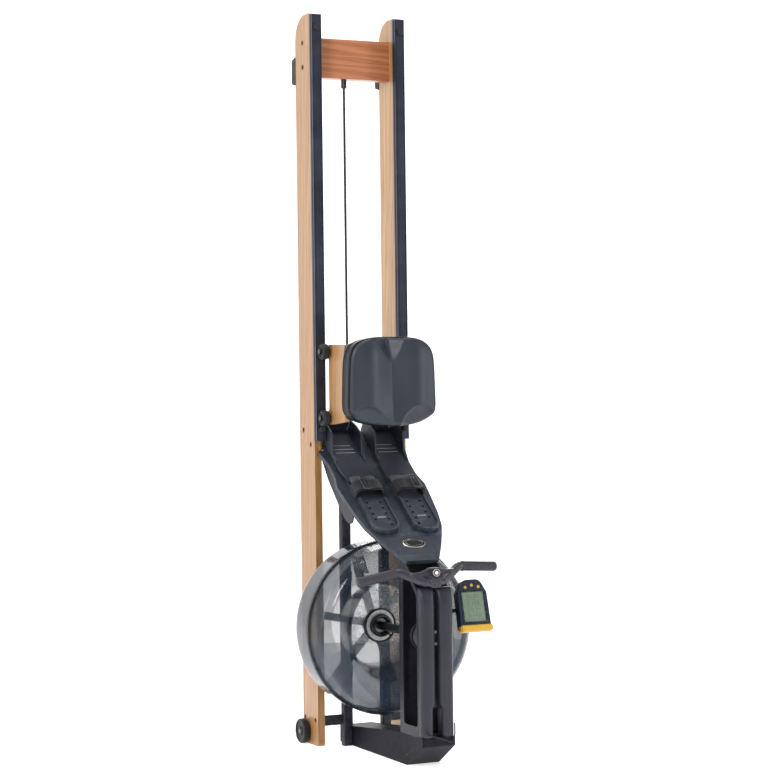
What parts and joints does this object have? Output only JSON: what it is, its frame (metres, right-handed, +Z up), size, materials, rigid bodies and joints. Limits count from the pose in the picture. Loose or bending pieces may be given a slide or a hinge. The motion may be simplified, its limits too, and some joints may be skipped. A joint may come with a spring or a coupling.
{
  "type": "water rowing machine",
  "caption": "Upright-stored water rower: wooden rails with black seat tracks, rolling seat, foot plates, water drum with impeller, strap-drive handle and swivel monitor.",
  "frame": {"origin": "centre of the footprint on the floor, in the upright storage pose", "axes": "+Z up along the rails, -Y the side that faces up in use (the rower sits on it), +X to the right when looking at that side"},
  "size_m": [0.4939, 0.63, 2.1],
  "materials": {
    "rail_wood": "clear-lacquered ash, open grain",
    "crossbar_wood": "clear-lacquered, redder board",
    "track_alu": "black anodised",
    "steel_bolts": "blackened and bright steel",
    "black_steel": "fine-textured black powder coat",
    "black_cover": "moulded satin black",
    "rubber": "black moulded rubber",
    "tank_clear": "smoked clear plastic, gloss",
    "impeller_plastic": "moulded black",
    "selector_black": "moulded black, gloss",
    "selector_grey": "pale grey",
    "cord_black": "braided sheath",
    "webbing": "woven webbing",
    "seat_foam": "moulded foam with a matt grained skin",
    "monitor_plastic": "moulded dark navy",
    "lcd": "grey-green display",
    "key_yellow": "soft keys"
  },
  "bodies": {
    "root": {"base_arm": "black_steel", "bungee_cord": "cord_black", "bungee_hook": "steel_bolts", "column_channel": "black_steel", "column_covers": "black_cover", "column_front_plate": "black_steel", "foot_straps": "webbing", "footboard": "black_cover", "footboard_badge": "selector_grey", "footboard_side_plates": "black_steel", "frame_tubes": "black_steel", "left_rail": "rail_wood", "monitor_arm": "black_steel", "pulley_pins": "steel_bolts", "rail_bolts": "steel_bolts", "rail_brackets": "black_steel", "rear_crossbar": "crossbar_wood", "rear_feet": "rubber", "right_rail": "rail_wood", "seat_tracks": "track_alu", "selector_scale_ring": "selector_grey", "shaft_bearings": "steel_bolts", "strap_buckles": "black_cover", "strap_inner_run": "webbing", "tank_back_shell": "tank_clear", "tank_brackets": "black_steel", "tank_front_shell": "tank_clear", "tank_screws": "steel_bolts", "tank_seal": "rubber", "toe_plates": "black_cover", "track_stops": "rubber", "wheel_axles": "steel_bolts", "wire_loop": "black_steel"},
    "impeller_set": {"impeller": "impeller_plastic", "main_shaft": "steel_bolts"},
    "selector": {"selector_knob": "selector_black"},
    "spool": {"drive_spool": "black_cover", "one_way_clutch": "steel_bolts"},
    "strap_roller": {"guide_roller": "black_cover"},
    "cord_pulley_rear": {"bungee_pulley_rear": "black_cover"},
    "cord_pulley_front": {"bungee_pulley_front": "black_cover"},
    "heel_left": {"left_heel_plate": "black_cover"},
    "heel_right": {"right_heel_plate": "black_cover"},
    "handle": {"handle_bar": "black_steel", "handle_grips": "rubber", "handle_yoke": "black_steel", "drive_strap": "webbing"},
    "seat": {"seat_cushion": "seat_foam", "seat_base": "black_cover", "carriage_panels": "rail_wood", "roller_axles": "steel_bolts"},
    "rollers_upper": {"upper_rollers": "black_cover"},
    "rollers_lower": {"lower_rollers": "black_cover"},
    "monitor": {"monitor_housing": "monitor_plastic", "monitor_screen": "lcd"},
    "key_1": {"monitor_key_1": "key_yellow"},
    "key_2": {"monitor_key_2": "key_yellow"},
    "key_3": {"monitor_key_3": "key_yellow"},
    "wheel_left": {"transport_wheel_left": "rubber"},
    "wheel_right": {"transport_wheel_right": "rubber"}
  },
  "joints": [
    {"name": "seat_slide", "type": "slide", "parent": "root", "child": "seat", "axis": [0, 0, 1], "range_m": [0, 0.893]},
    {"name": "upper_roller_spin", "type": "hinge", "parent": "seat", "child": "rollers_upper", "pos_m": [0, 0.135, 1.129], "axis": [1, 0, 0], "range_deg": [-2300, 10]},
    {"name": "lower_roller_spin", "type": "hinge", "parent": "seat", "child": "rollers_lower", "pos_m": [0, 0.135, 0.94], "axis": [1, 0, 0], "range_deg": [-2300, 10]},
    {"name": "handle_pull", "type": "slide", "parent": "root", "child": "handle", "axis": [0, 0, 1], "range_m": [0, 1.2], "deforming": ["drive_strap"]},
    {"name": "spool_spin", "type": "hinge", "parent": "root", "child": "spool", "pos_m": [0, -0.242, 0.351], "axis": [0, 1, 0], "range_deg": [-1920, 10]},
    {"name": "strap_roller_spin", "type": "hinge", "parent": "root", "child": "strap_roller", "pos_m": [0.0121, -0.252, 0.44], "axis": [0, 1, 0], "range_deg": [-10, 5900]},
    {"name": "cord_pulley_rear_spin", "type": "hinge", "parent": "root", "child": "cord_pulley_rear", "pos_m": [-0.016, 0.218, 0.028], "axis": [1, 0, 0], "range_deg": [-3400, 10]},
    {"name": "cord_pulley_front_spin", "type": "hinge", "parent": "root", "child": "cord_pulley_front", "pos_m": [0.018, -0.208, 0.028], "axis": [1, 0, 0], "range_deg": [-4200, 10]},
    {"name": "impeller_spin", "type": "hinge", "parent": "root", "child": "impeller_set", "pos_m": [0, -0.072, 0.351], "axis": [0, 1, 0], "continuous": true},
    {"name": "level_selector_turn", "type": "hinge", "parent": "root", "child": "selector", "pos_m": [0, 0.053, 0.351], "axis": [0, 1, 0], "range_deg": [-150, 150]},
    {"name": "left_heel_slide", "type": "slide", "parent": "root", "child": "heel_left", "axis": [0, -0.8039, -0.5948], "range_m": [-0.045, 0.02]},
    {"name": "right_heel_slide", "type": "slide", "parent": "root", "child": "heel_right", "axis": [0, -0.8039, -0.5948], "range_m": [-0.045, 0.02]},
    {"name": "monitor_tilt", "type": "hinge", "parent": "root", "child": "monitor", "pos_m": [0.134, -0.2137, 0.41106], "axis": [1, 0, 0], "range_deg": [-25, 20]},
    {"name": "key_1_press", "type": "slide", "parent": "monitor", "child": "key_1", "axis": [0, 0.9659, -0.2588], "range_m": [0, 0.001], "stiffness_N_per_m": 400},
    {"name": "key_2_press", "type": "slide", "parent": "monitor", "child": "key_2", "axis": [0, 0.9659, -0.2588], "range_m": [0, 0.001], "stiffness_N_per_m": 400},
    {"name": "key_3_press", "type": "slide", "parent": "monitor", "child": "key_3", "axis": [0, 0.9659, -0.2588], "range_m": [0, 0.001], "stiffness_N_per_m": 400},
    {"name": "left_wheel_spin", "type": "hinge", "parent": "root", "child": "wheel_left", "pos_m": [-0.157, 0.263, 0.0355], "axis": [1, 0, 0], "continuous": true},
    {"name": "right_wheel_spin", "type": "hinge", "parent": "root", "child": "wheel_right", "pos_m": [0.157, 0.263, 0.0355], "axis": [1, 0, 0], "continuous": true}
  ],
  "couplings": [
    {"joint": "upper_roller_spin", "follows": "seat_slide", "rad_per_m": -44.4},
    {"joint": "lower_roller_spin", "follows": "seat_slide", "rad_per_m": -44.4},
    {"joint": "spool_spin", "follows": "handle_pull", "rad_per_m": -27.548},
    {"joint": "strap_roller_spin", "follows": "handle_pull", "rad_per_m": 85},
    {"joint": "cord_pulley_rear_spin", "follows": "handle_pull", "rad_per_m": -49},
    {"joint": "cord_pulley_front_spin", "follows": "handle_pull", "rad_per_m": -60.4}
  ]
}
